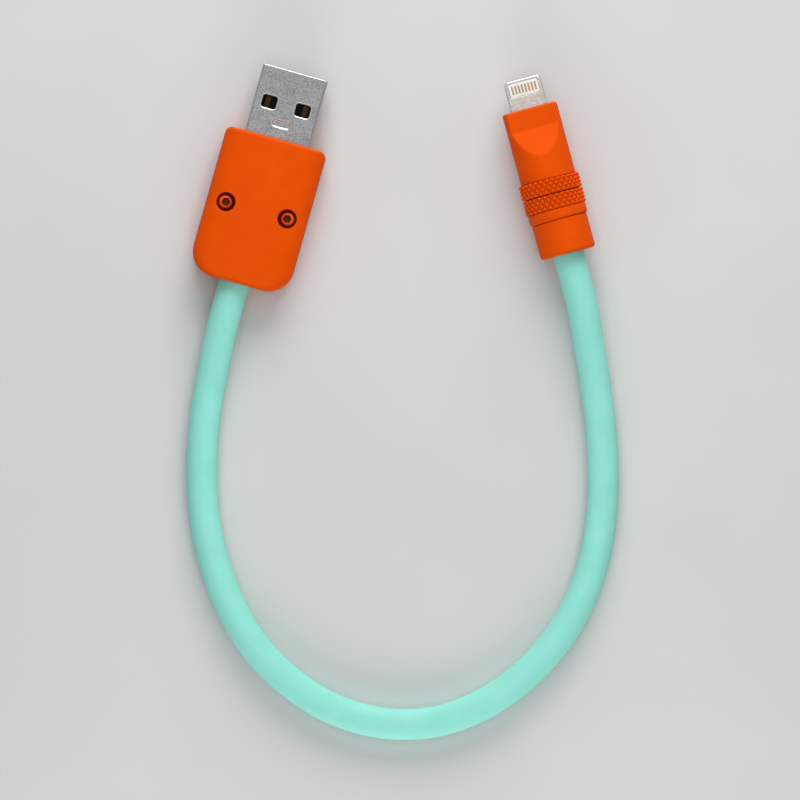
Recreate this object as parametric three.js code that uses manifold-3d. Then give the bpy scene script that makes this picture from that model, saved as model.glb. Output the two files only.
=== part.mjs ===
// A short charging cable: a flat two-part USB plug, a round phone plug with a knurled ring,
// and a soft round cable between them, lying in a loop on a table.
// Millimetres, +Z up, the table at z = 0. Each plug has its own frame: y = 0 at the face that the
// cable leaves, +Y towards the device it plugs into, and z = 0 on the plug's axis.
import * as THREE from "three";
import { mergeVertices } from "three/addons/utils/BufferGeometryUtils.js";
import Module from "manifold-3d";

const wasm = await Module();
wasm.setup();

// ---------- Where the two plugs lie ----------
const USB_EXIT = [-28.31, -18.92]; // middle of the USB plug's rear face, seen from above
const USB_TURN = -15.7; // degrees, counter-clockwise positive
const PHONE_EXIT = [31.36, -13.53];
const PHONE_TURN = 15.05;

// ---------- Cable ----------
const CABLE_RADIUS = 2.8;
const SHIELD_WALL = 0.2;
const SHIELD_GAP = 0.15; // shield to jacket
const WIRE_RADIUS = 0.42;
const WIRE_SPACING = 1.1; // between the centres of neighbouring wires
const WIRE_ROOM = 0.25; // from a wire to what is round it
const WIRE_SPREAD = 1.6; // how far a wire swings out, or moves along, before it turns
const CABLE_SIDES = 12;
const WIRE_SIDES = 8;
const CABLE_STEPS = 34;
const CABLE_FIT = 0.2; // radial clearance of a cable outlet
const CABLE_OFFSET = -0.4; // the cable leaves the USB plug a little to the left of its middle
// The route of the cable's centreline, from inside the USB plug to inside the phone plug.
const ROUTE = [
  [-27.48, -14.48, 4.7],
  [-28.7, -18.81, 4.7],
  [-30.05, -23.6, 4.6],
  [-31.35, -28.6, 4.1],
  [-32.9, -36.0, 3.2],
  [-34.05, -43.0, 2.85],
  [-34.62, -51.6, 2.85],
  [-34.25, -60.3, 2.85],
  [-32.5, -68.8, 2.85],
  [-29.5, -76.9, 2.85],
  [-25.1, -84.3, 2.85],
  [-19.1, -90.4, 2.85],
  [-11.8, -95.2, 2.85],
  [-3.65, -97.85, 2.85],
  [5.0, -98.25, 2.85],
  [13.3, -96.05, 2.85],
  [20.8, -91.75, 2.85],
  [27.1, -85.9, 2.85],
  [32.1, -78.9, 2.85],
  [35.45, -70.9, 2.85],
  [37.25, -62.3, 2.85],
  [37.73, -53.8, 2.85],
  [37.3, -45.1, 2.9],
  [36.19, -36.6, 3.3],
  [35.0, -29.3, 4.3],
  [33.85, -22.9, 5.2],
  [32.66, -18.36, 5.55],
  [31.36, -13.53, 5.6],
  [30.06, -8.7, 5.6],
];

// ---------- USB plug housing ----------
const HOUSING_LENGTH = 26.9;
const HOUSING_WIDTH = 18.6;
const HOUSING_THICKNESS = 9.4;
const HOUSING_FRONT_CORNER = 1.2;
const HOUSING_REAR_CORNER = 4.7;
const HOUSING_CROWN_RADIUS = 22; // the top is an arch from side to side
const HOUSING_TOP_EDGE = 3.0;
const HOUSING_BOTTOM_EDGE = 1.0;
const HOUSING_END_EDGE = 0.8;
const HOUSING_REAR_WALL = 2.0;
const HOUSING_FRONT_WALL = 6.5;
const CAVITY_CORNER = 1.0;
const CAVITY_MARGIN = 1.0; // from the crimp ring to the cavity
const SPLIT_GAP = 0.1; // between the two halves

// ---------- Screws of the USB plug ----------
const SCREW_SPACING = 11.4;
const SCREW_PLACE = 13.55; // from the rear face
const SCREW_SINK_RADIUS = 1.725;
const SCREW_HEAD_RADIUS = 1.3;
const SCREW_HEAD_HEIGHT = 1.3;
const SCREW_DOME = 0.58; // the height of the head's rounded part
const SCREW_HEAD_SEAT = 2.3; // height of the seat over the split plane
const SCREW_SHANK_RADIUS = 0.75;
const SCREW_SOCKET_RADIUS = 0.78;
const SCREW_SOCKET_DEPTH = 1.0;
const SCREW_FIT = 0.15;
const SCREW_SEAT_GAP = 0.05;
const INSERT_RADIUS = 1.3;
const INSERT_LENGTH = 2.6;
const BOSS_WALL = 0.9;

// ---------- USB connector ----------
const SHELL_WIDTH = 12.0;
const SHELL_HEIGHT = 4.5;
const SHELL_SHEET = 0.3;
const SHELL_CORNER = 0.4;
const SHELL_EXPOSED = 12.5;
const SHELL_FIT = 0.1;
const WINDOW_WIDTH = 2.6;
const WINDOW_LENGTH = 2.3;
const WINDOW_CORNER = 0.5;
const WINDOW_SPACING = 6.2;
const WINDOW_FROM_MOUTH = 6.4;
const DIMPLE_WIDTH = 3.35;
const DIMPLE_LENGTH = 1.35;
const DIMPLE_DEPTH = 0.16;
const DIMPLE_FROM_MOUTH = 9.8;
const BLOCK_FIT = 0.1; // contact block inside the shell
const FLANGE_LENGTH = 1.25;
const FLANGE_OVERHANG = 0.6; // how far the flange stands out past the shell at each side
const FLANGE_RISE = 0.3; // and over and under it
const FLANGE_ROOM = 0.35; // from the flange up or down to the housing
const FLANGE_SIDE_ROOM = 0.8; // and to each side
const TONGUE_RECESS = 0.6; // from the shell's mouth
const TONGUE_TOP = -0.05;
const USB_CONTACT_PLACES = [-3.5, -1.0, 1.0, 3.5];
const USB_CONTACT_RECESS = [1.1, 2.1, 2.1, 1.1]; // the outer two reach further forward
const USB_CONTACT_WIDTH = 1.0;
const USB_CONTACT_THICKNESS = 0.2;
const USB_CONTACT_FIT = 0.1;
const USB_TAIL_LENGTH = 2.1;

// ---------- Crimp rings round the cable ----------
const CRIMP_LENGTH = 1.8;
const CRIMP_WALL = 0.45;
const CRIMP_FIT = 0.1;

// ---------- Phone plug ----------
const PHONE_LENGTH = 27.0;
const PHONE_RADIUS = 5.05;
const PHONE_EDGE = 0.5;
const BARREL_LENGTH = 6.3;
const BARREL_WALL = 0.7;
const BARREL_REAR_WALL = 1.6;
const COLLAR_LENGTH = 1.85;
const COLLAR_PROUD = 0.25; // over the round body
const RING_LENGTH = 5.5;
const RING_GAP = 0.05; // between neighbouring rings
const KNURL_PROUD = 0.55; // over the round body
const KNURL_DEPTH = 0.4;
const KNURL_COUNT = 30;
const KNURL_ROWS = 4;
const KNURL_PITCH = 0.68; // between rows, along the axis
const KNURL_LIP = 0.33; // from the ring's end to the first row
const GROOVE_DEPTH = 0.65; // under the points of the knurl
const SPIGOT_FIT = 0.1;
const SPIGOT_START = 2.3;
const SOLDER_PLACE = 9.2; // where the wires come down to the board
const FLAT_HEIGHT = 2.5; // of the front flats over the axis
const FLAT_LENGTH = 3.74;
const RAMP_LENGTH = 5.06; // from the flat up to the round body
const CHAMBER_END = 19.6;

// ---------- Blade of the phone plug ----------
const BLADE_WIDTH = 6.7;
const BLADE_THICKNESS = 1.5;
const BLADE_EXPOSED = 5.5;
const BLADE_HIDDEN = 6.6;
const BLADE_CORNER = 0.9;
const BLADE_EDGE = 0.25;
const BLADE_FIT = 0.1;
const PORT_SIDE = 0.6; // from each side of the blade to the window that holds the contacts
const PORT_LENGTH = 2.6;
const PORT_CORNER = 0.5;
const PORT_RIM = 0.45; // from the blade's end
const PORT_FIT = 0.05;
const PAD_COUNT = 8;
const PAD_SIDE = 0.5; // from the window's side to the first pad
const PAD_WIDTH = 0.3;
const PAD_LENGTH = 1.56;
const PAD_FROM_END = 0.96;
const PAD_FIT = 0.03;
const BOARD_THICKNESS = 0.6;
const BOARD_SIDE = 0.25; // from each side of the window to the circuit board
const BOARD_START = 9.5;
const BOARD_FIT = 0.1;
const BOARD_FRONT_GAP = 0.6; // from the window's front edge
const CHIP_SIZE = 2.4;
const CHIP_HEIGHT = 0.8;
const CHIP_PLACE = 15.5;
const CAPACITOR_SIZE = [0.5, 1.0, 0.5];
const CAPACITOR_PLACES = [-1.2, 1.2];
const SOLDER_GAP = 0.08;
const SOLDER_LENGTH = 2.2; // of each wire along the board

const ROUND_STEPS = 48; // sides of the large turned pieces
const SMALL_STEPS = 20; // sides of screws and inserts
const CORNER_STEPS = 5;

// ---------- Colours ----------
const ORANGE = { color: 0xe8560a, roughness: 0.55, metalness: 0 };
const MINT = { color: 0x8fe6d0, roughness: 0.6, metalness: 0 };
const STEEL = { color: 0xb4b4b2, roughness: 0.35, metalness: 1 };
const BRAID = { color: 0xb5a58c, roughness: 0.5, metalness: 1 };
const BRASS = { color: 0xc9a14a, roughness: 0.35, metalness: 1 };
const GOLD = { color: 0xd0a04a, roughness: 0.3, metalness: 1 };
const BLACK = { color: 0x151515, roughness: 0.6, metalness: 0 };
const WHITE = { color: 0xf2f2ef, roughness: 0.45, metalness: 0 };
const BOARD_GREEN = { color: 0x1d5a38, roughness: 0.5, metalness: 0 };
const CERAMIC = { color: 0xb09a78, roughness: 0.5, metalness: 0 };
const wireFinish = (color) => ({ color, roughness: 0.5, metalness: 0 });

// ---------- Solids ----------
function solidOf(geometry) {
  const bare = geometry.clone();
  bare.deleteAttribute("normal");
  bare.deleteAttribute("uv");
  const merged = mergeVertices(bare, 1e-4);
  const triVerts = new Uint32Array(merged.index.array);
  const vertProperties = merged.attributes.position.array;
  const made = new wasm.Manifold(new wasm.Mesh({ numProp: 3, vertProperties, triVerts }));
  if (made.volume() > 0) return made;
  const turned = triVerts.map((_, i) => triVerts[i - (i % 3) + (2 - (i % 3))]);
  return new wasm.Manifold(new wasm.Mesh({ numProp: 3, vertProperties, triVerts: turned }));
}

function geometryOf(solid) {
  const mesh = solid.getMesh();
  const geometry = new THREE.BufferGeometry();
  geometry.setAttribute("position", new THREE.BufferAttribute(mesh.vertProperties, 3));
  geometry.setIndex(new THREE.BufferAttribute(mesh.triVerts, 1));
  const faceted = geometry.toNonIndexed();
  faceted.computeVertexNormals();
  return faceted;
}

function piece(name, solid, finish) {
  const mesh = new THREE.Mesh(geometryOf(solid), new THREE.MeshStandardMaterial(finish));
  mesh.name = name;
  return mesh;
}

const joined = (solids) => solids.reduce((sum, next) => sum.add(next));

const extruded = (shape, depth) =>
  new THREE.ExtrudeGeometry(shape, { depth, bevelEnabled: false, curveSegments: CORNER_STEPS });

// An outline in the XY plane, between two heights.
const plate = (shape, low, high) => solidOf(extruded(shape, high - low).translate(0, 0, low));

// A section in the XZ plane, between two places along Y.
const bar = (shape, low, high) =>
  solidOf(extruded(shape, high - low).rotateX(Math.PI / 2).translate(0, high, 0));

// A profile in the YZ plane, across the whole width.
function across(shape, width) {
  const turn = new THREE.Matrix4().makeBasis(
    new THREE.Vector3(0, 1, 0),
    new THREE.Vector3(0, 0, 1),
    new THREE.Vector3(1, 0, 0),
  );
  return solidOf(extruded(shape, width).applyMatrix4(turn).translate(-width / 2, 0, 0));
}

const block = (width, low, high, bottom, top, x = 0) =>
  bar(roundedRectangle(width, top - bottom, 0, 0, x, (top + bottom) / 2), low, high);

// A solid of revolution about the plug's axis, from a closed profile of [radius, y] points.
function turned(points, steps = ROUND_STEPS) {
  const profile = [...points, points[0]].map(([r, y]) => new THREE.Vector2(r, y));
  return solidOf(new THREE.LatheGeometry(profile, steps));
}

const drum = (radius, low, high, steps) =>
  turned([[0, low], [radius, low], [radius, high], [0, high]], steps);

const ring = (inner, outer, low, high, steps) =>
  turned([[inner, low], [outer, low], [outer, high], [inner, high]], steps);

// A round post that stands along Z.
const post = (radius, low, high, x, y, steps = SMALL_STEPS) =>
  solidOf(
    new THREE.CylinderGeometry(radius, radius, high - low, steps)
      .rotateX(Math.PI / 2)
      .translate(x, y, (low + high) / 2),
  );

// A rectangle with its own corner radius at the low end and at the high end.
function roundedRectangle(width, height, lowRadius, highRadius = lowRadius, x = 0, y = 0) {
  const left = x - width / 2;
  const right = x + width / 2;
  const low = y - height / 2;
  const high = y + height / 2;
  const shape = new THREE.Shape();
  const corner = (cx, cy, radius, start) => {
    if (radius === 0) shape.lineTo(cx, cy);
    else shape.absarc(cx, cy, radius, start, start + Math.PI / 2);
  };
  shape.moveTo(left + lowRadius, low);
  corner(right - lowRadius, low + lowRadius, lowRadius, -Math.PI / 2);
  corner(right - highRadius, high - highRadius, highRadius, 0);
  corner(left + highRadius, high - highRadius, highRadius, Math.PI / 2);
  if (lowRadius > 0) corner(left + lowRadius, low + lowRadius, lowRadius, Math.PI);
  else shape.lineTo(left, low);
  return shape;
}

function polygon(points) {
  return new THREE.Shape(points.map(([x, y]) => new THREE.Vector2(x, y)));
}

// ---------- Plug frames ----------
function plugFrame([x, y], turnDegrees, height) {
  const group = new THREE.Group();
  group.position.set(x, y, height);
  group.rotation.z = THREE.MathUtils.degToRad(turnDegrees);
  group.updateMatrix();
  return group;
}

const knurlRadius = PHONE_RADIUS + KNURL_PROUD;
const grooveRadius = knurlRadius - GROOVE_DEPTH;
const usbPlug = plugFrame(USB_EXIT, USB_TURN, HOUSING_THICKNESS / 2);
const phonePlug = plugFrame(PHONE_EXIT, PHONE_TURN, knurlRadius);

// ---------- USB plug housing ----------
const halfThickness = HOUSING_THICKNESS / 2;
const cavityRear = HOUSING_REAR_WALL + CRIMP_LENGTH + 2 * CRIMP_FIT + CAVITY_MARGIN;
const cavityFront = HOUSING_LENGTH - HOUSING_FRONT_WALL;
const flangeHalfHeight = SHELL_HEIGHT / 2 + FLANGE_RISE;
const cavityHalfHeight = flangeHalfHeight + FLANGE_ROOM;
const flangeHalfWidth = SHELL_WIDTH / 2 + FLANGE_OVERHANG;
const cavityHalfWidth = flangeHalfWidth + FLANGE_SIDE_ROOM;
const bossRadius = INSERT_RADIUS + SPLIT_GAP + BOSS_WALL;
const shellRear = cavityFront + SHELL_FIT;
const shellMouth = HOUSING_LENGTH + SHELL_EXPOSED;
const crimpOuter = CABLE_RADIUS + CRIMP_FIT + CRIMP_WALL;
const screwPlaces = [
  ["left", -SCREW_SPACING / 2],
  ["right", SCREW_SPACING / 2],
];

function housingSection() {
  const half = HOUSING_WIDTH / 2;
  const crownEdge = half - HOUSING_TOP_EDGE;
  const crownCentre = halfThickness - HOUSING_CROWN_RADIUS;
  const edgeHeight = crownCentre + Math.sqrt(HOUSING_CROWN_RADIUS ** 2 - crownEdge ** 2);
  const sweep = Math.asin(crownEdge / HOUSING_CROWN_RADIUS);
  const bottom = -halfThickness;
  const shape = new THREE.Shape();
  shape.moveTo(-half + HOUSING_BOTTOM_EDGE, bottom);
  shape.lineTo(half - HOUSING_BOTTOM_EDGE, bottom);
  shape.quadraticCurveTo(half, bottom, half, bottom + HOUSING_BOTTOM_EDGE);
  shape.lineTo(half, edgeHeight - HOUSING_TOP_EDGE);
  shape.quadraticCurveTo(half, edgeHeight, crownEdge, edgeHeight);
  shape.absarc(0, crownCentre, HOUSING_CROWN_RADIUS, Math.PI / 2 - sweep, Math.PI / 2 + sweep);
  shape.quadraticCurveTo(-half, edgeHeight, -half, edgeHeight - HOUSING_TOP_EDGE);
  shape.lineTo(-half, bottom + HOUSING_BOTTOM_EDGE);
  shape.quadraticCurveTo(-half, bottom, -half + HOUSING_BOTTOM_EDGE, bottom);
  return shape;
}

function usbHousing() {
  const middle = HOUSING_LENGTH / 2;
  const outline = roundedRectangle(
    HOUSING_WIDTH, HOUSING_LENGTH, HOUSING_REAR_CORNER, HOUSING_FRONT_CORNER, 0, middle,
  );
  const profile = roundedRectangle(
    HOUSING_LENGTH, HOUSING_THICKNESS, HOUSING_END_EDGE, HOUSING_END_EDGE, middle, 0,
  );
  const body = plate(outline, -halfThickness, halfThickness)
    .intersect(bar(housingSection(), 0, HOUSING_LENGTH))
    .intersect(across(profile, HOUSING_WIDTH));
  const cavityShape = roundedRectangle(
    2 * cavityHalfWidth, cavityFront - cavityRear, CAVITY_CORNER, CAVITY_CORNER,
    0, (cavityFront + cavityRear) / 2,
  );
  const bosses = joined(
    screwPlaces.map(([, x]) =>
      post(bossRadius, -cavityHalfHeight, cavityHalfHeight, x, SCREW_PLACE, 2 * SMALL_STEPS)),
  );
  const cavity = plate(cavityShape, -cavityHalfHeight, cavityHalfHeight).subtract(bosses);
  const outlet = drum(CABLE_RADIUS + CABLE_FIT, -1, cavityRear + 1).translate([CABLE_OFFSET, 0, 0]);
  const crimpRoom = drum(crimpOuter + CRIMP_FIT, HOUSING_REAR_WALL, cavityRear + 1)
    .translate([CABLE_OFFSET, 0, 0]);
  const slot = bar(
    roundedRectangle(
      SHELL_WIDTH + 2 * SHELL_FIT, SHELL_HEIGHT + 2 * SHELL_FIT, SHELL_CORNER + SHELL_FIT,
    ),
    cavityFront - 1,
    HOUSING_LENGTH + 1,
  );
  return body.subtract(cavity).subtract(outlet).subtract(crimpRoom).subtract(slot);
}

function housingHalf(housing, upper) {
  const height = halfThickness + 1;
  const side = upper ? 1 : -1;
  const middle = side * (height / 2 + SPLIT_GAP / 2);
  const keep = block(
    HOUSING_WIDTH + 2, -1, HOUSING_LENGTH + 1, middle - height / 2, middle + height / 2,
  );
  const holes = screwPlaces.map(([, x]) =>
    upper
      ? post(SCREW_SHANK_RADIUS + SCREW_FIT, -1, height, x, SCREW_PLACE)
          .add(post(SCREW_SINK_RADIUS, SCREW_HEAD_SEAT, height, x, SCREW_PLACE, ROUND_STEPS / 2))
      : post(INSERT_RADIUS + SPLIT_GAP, -INSERT_LENGTH - 3 * SPLIT_GAP, 1, x, SCREW_PLACE));
  return housing.intersect(keep).subtract(joined(holes));
}

function usbScrew(x) {
  const seat = SCREW_HEAD_SEAT + SCREW_SEAT_GAP;
  const top = seat + SCREW_HEAD_HEIGHT;
  const end = -INSERT_LENGTH;
  const points = [
    [0, end], [SCREW_SHANK_RADIUS, end], [SCREW_SHANK_RADIUS, seat], [SCREW_HEAD_RADIUS, seat],
    [SCREW_HEAD_RADIUS, top - SCREW_DOME],
    [SCREW_HEAD_RADIUS - SCREW_DOME / 3, top - SCREW_DOME / 3],
    [SCREW_HEAD_RADIUS - SCREW_DOME, top], [0, top],
  ];
  const socket = post(SCREW_SOCKET_RADIUS, top - SCREW_SOCKET_DEPTH, top + 1, 0, 0, 6);
  return turned(points, SMALL_STEPS).rotate([90, 0, 0]).subtract(socket).translate([x, SCREW_PLACE, 0]);
}

function screwInsert(x) {
  const low = -INSERT_LENGTH - SPLIT_GAP;
  return post(INSERT_RADIUS, low, -1.5 * SPLIT_GAP, x, SCREW_PLACE)
    .subtract(post(SCREW_SHANK_RADIUS + SPLIT_GAP, low - 1, 1, x, SCREW_PLACE));
}

const housing = usbHousing();
usbPlug.add(piece("usb_housing_top", housingHalf(housing, true), ORANGE));
usbPlug.add(piece("usb_housing_bottom", housingHalf(housing, false), ORANGE));
for (const [side, x] of screwPlaces) {
  usbPlug.add(piece("usb_screw_" + side, usbScrew(x), ORANGE));
  usbPlug.add(piece("usb_screw_insert_" + side, screwInsert(x), BRASS));
}

// ---------- USB connector ----------
function usbShell() {
  const outer = roundedRectangle(SHELL_WIDTH, SHELL_HEIGHT, SHELL_CORNER);
  const inner = roundedRectangle(
    SHELL_WIDTH - 2 * SHELL_SHEET, SHELL_HEIGHT - 2 * SHELL_SHEET, SHELL_CORNER - SHELL_SHEET / 2,
  );
  const windows = [-WINDOW_SPACING / 2, WINDOW_SPACING / 2].map((x) =>
    plate(
      roundedRectangle(
        WINDOW_WIDTH, WINDOW_LENGTH, WINDOW_CORNER, WINDOW_CORNER, x, shellMouth - WINDOW_FROM_MOUTH,
      ),
      -SHELL_HEIGHT,
      SHELL_HEIGHT,
    ));
  const dimple = plate(
    roundedRectangle(
      DIMPLE_WIDTH, DIMPLE_LENGTH, DIMPLE_LENGTH * 0.45, DIMPLE_LENGTH * 0.45, 0,
      shellMouth - DIMPLE_FROM_MOUTH,
    ),
    SHELL_HEIGHT / 2 - DIMPLE_DEPTH,
    SHELL_HEIGHT,
  );
  return bar(outer, shellRear, shellMouth)
    .subtract(bar(inner, shellRear - 1, shellMouth + 1))
    .subtract(joined([...windows, dimple]));
}

const blockHalfHeight = SHELL_HEIGHT / 2 - SHELL_SHEET - BLOCK_FIT;
const blockWidth = SHELL_WIDTH - 2 * (SHELL_SHEET + BLOCK_FIT);
const contactTop = TONGUE_TOP + USB_CONTACT_THICKNESS / 4;
const flangeRear = cavityFront - SHELL_FIT - FLANGE_LENGTH;

function usbContactBlock() {
  const core = bar(
    roundedRectangle(blockWidth, 2 * blockHalfHeight, SHELL_CORNER - SHELL_SHEET / 2),
    flangeRear,
    shellMouth - TONGUE_RECESS,
  );
  const mouth = block(blockWidth, HOUSING_LENGTH, shellMouth, TONGUE_TOP, SHELL_HEIGHT);
  const flange = block(
    2 * flangeHalfWidth, flangeRear, cavityFront - SHELL_FIT,
    -flangeHalfHeight, flangeHalfHeight,
  );
  const solid = core.subtract(mouth).add(flange);
  const grooves = USB_CONTACT_PLACES.map((x, i) =>
    block(
      USB_CONTACT_WIDTH + 2 * USB_CONTACT_FIT,
      flangeRear - 1,
      shellMouth - USB_CONTACT_RECESS[i] + USB_CONTACT_FIT,
      contactTop - USB_CONTACT_THICKNESS - USB_CONTACT_FIT,
      contactTop + USB_CONTACT_FIT,
      x,
    ));
  return solid.subtract(joined(grooves));
}

const usbContact = (x, recess) =>
  block(
    USB_CONTACT_WIDTH,
    flangeRear - USB_TAIL_LENGTH,
    shellMouth - recess,
    contactTop - USB_CONTACT_THICKNESS,
    contactTop,
    x,
  );

usbPlug.add(piece("usb_shell", usbShell(), STEEL));
usbPlug.add(piece("usb_contact_block", usbContactBlock(), BLACK));
USB_CONTACT_PLACES.forEach((x, i) => {
  usbPlug.add(piece("usb_contact_" + (i + 1), usbContact(x, USB_CONTACT_RECESS[i]), GOLD));
});

function crimpRing(rear, x = 0) {
  return ring(CABLE_RADIUS + CRIMP_FIT, crimpOuter, rear, rear + CRIMP_LENGTH, ROUND_STEPS / 2)
    .translate([x, 0, 0]);
}
usbPlug.add(piece("usb_crimp_ring", crimpRing(HOUSING_REAR_WALL + CRIMP_FIT, CABLE_OFFSET), STEEL));

// ---------- Phone plug body ----------
const collarStart = BARREL_LENGTH + RING_GAP;
const ringStart = collarStart + COLLAR_LENGTH + RING_GAP;
const shoulder = ringStart + RING_LENGTH + RING_GAP;
const spigotOuter = PHONE_RADIUS - BARREL_WALL - SPIGOT_FIT;
const spigotInner = crimpOuter + CRIMP_FIT;
const sleeveBore = spigotOuter + SPIGOT_FIT;
const bladeEnd = PHONE_LENGTH + BLADE_EXPOSED;
const bladeRear = PHONE_LENGTH - BLADE_HIDDEN;

function phoneFrontBody() {
  const front = PHONE_LENGTH;
  const solid = turned([
    [0, SPIGOT_START], [spigotOuter, SPIGOT_START], [spigotOuter, shoulder], [PHONE_RADIUS, shoulder],
    [PHONE_RADIUS, front - PHONE_EDGE], [PHONE_RADIUS - PHONE_EDGE * 0.3, front - PHONE_EDGE * 0.3],
    [PHONE_RADIUS - PHONE_EDGE, front], [0, front],
  ]);
  const rampEnd = front - FLAT_LENGTH;
  const slope = (PHONE_RADIUS - FLAT_HEIGHT) / RAMP_LENGTH;
  const top = PHONE_RADIUS + 1;
  const cut = across(
    polygon([
      [front + 1, FLAT_HEIGHT], [front + 1, top], [rampEnd - (top - FLAT_HEIGHT) / slope, top],
      [rampEnd, FLAT_HEIGHT],
    ]),
    3 * PHONE_RADIUS,
  );
  const chamber = drum(spigotInner, SPIGOT_START - 1, CHAMBER_END);
  const bladeSlot = block(
    BLADE_WIDTH + 2 * BLADE_FIT, CHAMBER_END - 1, front + 1,
    -BLADE_THICKNESS / 2 - BLADE_FIT, BLADE_THICKNESS / 2 + BLADE_FIT,
  );
  return solid.subtract(cut).subtract(cut.rotate([0, 180, 0])).subtract(chamber).subtract(bladeSlot);
}

// The rows of the knurl: each is a circle of points at two radii in turn.
function knurlRows() {
  const plain = (y, radius) => ({ y, peak: radius, valley: radius });
  const bandLength = (KNURL_ROWS - 1) * KNURL_PITCH;
  const band = (start) =>
    Array.from({ length: KNURL_ROWS }, (_, i) => ({
      y: start + i * KNURL_PITCH,
      peak: knurlRadius,
      valley: knurlRadius - KNURL_DEPTH,
    }));
  const rearBand = ringStart + KNURL_LIP;
  const frontBand = ringStart + RING_LENGTH - KNURL_LIP - bandLength;
  return [
    plain(ringStart, grooveRadius),
    ...band(rearBand),
    plain(rearBand + bandLength + KNURL_LIP, grooveRadius),
    plain(frontBand - KNURL_LIP, grooveRadius),
    ...band(frontBand),
    plain(ringStart + RING_LENGTH, grooveRadius),
  ];
}

// Each cell between two rows is split from valley to valley, which leaves four-sided pyramids.
function knurledRing() {
  const rows = knurlRows();
  const around = 2 * KNURL_COUNT;
  const positions = [];
  rows.forEach(({ y, peak, valley }, k) => {
    for (let j = 0; j < around; j += 1) {
      const radius = (k + j) % 2 === 0 ? peak : valley;
      const angle = (2 * Math.PI * j) / around;
      positions.push(radius * Math.cos(angle), y, radius * Math.sin(angle));
    }
  });
  const rearCentre = positions.length / 3;
  const frontCentre = rearCentre + 1;
  positions.push(0, rows[0].y, 0, 0, rows[rows.length - 1].y, 0);
  const index = [];
  const last = (rows.length - 1) * around;
  for (let j = 0; j < around; j += 1) {
    const next = (j + 1) % around;
    index.push(rearCentre, j, next, frontCentre, last + next, last + j);
    for (let k = 0; k < rows.length - 1; k += 1) {
      const [a, b] = [k * around + j, k * around + next];
      const [d, c] = [a + around, b + around];
      if ((k + j) % 2 === 0) index.push(a, d, b, b, d, c);
      else index.push(a, c, b, a, d, c);
    }
  }
  const geometry = new THREE.BufferGeometry();
  geometry.setAttribute("position", new THREE.Float32BufferAttribute(positions, 3));
  geometry.setIndex(index);
  return solidOf(geometry).subtract(drum(sleeveBore, ringStart - 1, shoulder + 1));
}

function rearBarrel() {
  const outside = turned([
    [0, 0], [PHONE_RADIUS - PHONE_EDGE, 0], [PHONE_RADIUS - PHONE_EDGE * 0.3, PHONE_EDGE * 0.3],
    [PHONE_RADIUS, PHONE_EDGE], [PHONE_RADIUS, BARREL_LENGTH], [0, BARREL_LENGTH],
  ]);
  return outside
    .subtract(drum(sleeveBore, BARREL_REAR_WALL, BARREL_LENGTH + 1))
    .subtract(drum(CABLE_RADIUS + CABLE_FIT, -1, BARREL_REAR_WALL + 1));
}

phonePlug.add(piece("phone_front_body", phoneFrontBody(), ORANGE));
phonePlug.add(piece("phone_knurled_ring", knurledRing(), ORANGE));
const collar = ring(sleeveBore, PHONE_RADIUS + COLLAR_PROUD, collarStart, collarStart + COLLAR_LENGTH);
phonePlug.add(piece("phone_collar", collar, ORANGE));
phonePlug.add(piece("phone_rear_barrel", rearBarrel(), ORANGE));
phonePlug.add(piece("phone_crimp_ring", crimpRing(SPIGOT_START), STEEL));

// ---------- Blade of the phone plug ----------
const portWidth = BLADE_WIDTH - 2 * PORT_SIDE;
const boardWidth = portWidth - 2 * BOARD_SIDE;
const portFront = bladeEnd - PORT_RIM;
const portMiddle = portFront - PORT_LENGTH / 2;
const boardTop = BOARD_THICKNESS / 2;
const boardFront = portFront - BOARD_FRONT_GAP;
const portOutline = (inset) =>
  roundedRectangle(
    portWidth - 2 * inset, PORT_LENGTH - 2 * inset, PORT_CORNER - inset, PORT_CORNER - inset,
    0, portMiddle,
  );
const padPitch = (portWidth - 2 * PAD_SIDE - PAD_WIDTH) / (PAD_COUNT - 1);
const padPlaces = Array.from(
  { length: PAD_COUNT },
  (_, i) => (i - (PAD_COUNT - 1) / 2) * padPitch,
);

function bladeFrame() {
  const length = bladeEnd - bladeRear;
  const outline = roundedRectangle(
    BLADE_WIDTH, length, BLADE_EDGE, BLADE_CORNER, 0, bladeRear + length / 2,
  );
  const section = roundedRectangle(BLADE_WIDTH, BLADE_THICKNESS, BLADE_EDGE);
  const boardSlot = block(
    boardWidth + 2 * BOARD_FIT, bladeRear - 1, portMiddle,
    -boardTop - BOARD_FIT, boardTop + BOARD_FIT,
  );
  return plate(outline, -BLADE_THICKNESS / 2, BLADE_THICKNESS / 2)
    .intersect(bar(section, bladeRear - 1, bladeEnd + 1))
    .subtract(plate(portOutline(0), -BLADE_THICKNESS, BLADE_THICKNESS))
    .subtract(boardSlot);
}

const padFront = bladeEnd - PAD_FROM_END;
const pad = (x, grow, bottom, top) =>
  block(PAD_WIDTH + 2 * grow, padFront - PAD_LENGTH - grow, padFront + grow, bottom, top, x);

function portInsert() {
  const bottom = boardTop + PORT_FIT;
  const slots = padPlaces.map((x) => pad(x, PAD_FIT, 0, BLADE_THICKNESS));
  return plate(portOutline(PORT_FIT), bottom, BLADE_THICKNESS / 2).subtract(joined(slots));
}

const insert = portInsert();
phonePlug.add(piece("phone_blade_frame", bladeFrame(), STEEL));
phonePlug.add(piece("phone_blade_insert_top", insert, WHITE));
phonePlug.add(piece("phone_blade_insert_bottom", insert.rotate([0, 180, 0]), WHITE));
padPlaces.forEach((x, i) => {
  const contact = pad(x, 0, boardTop + PAD_FIT, BLADE_THICKNESS / 2 + PAD_FIT / 2);
  phonePlug.add(piece("phone_contact_top_" + (i + 1), contact, GOLD));
  phonePlug.add(piece("phone_contact_bottom_" + (i + 1), contact.rotate([0, 180, 0]), GOLD));
});

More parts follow.
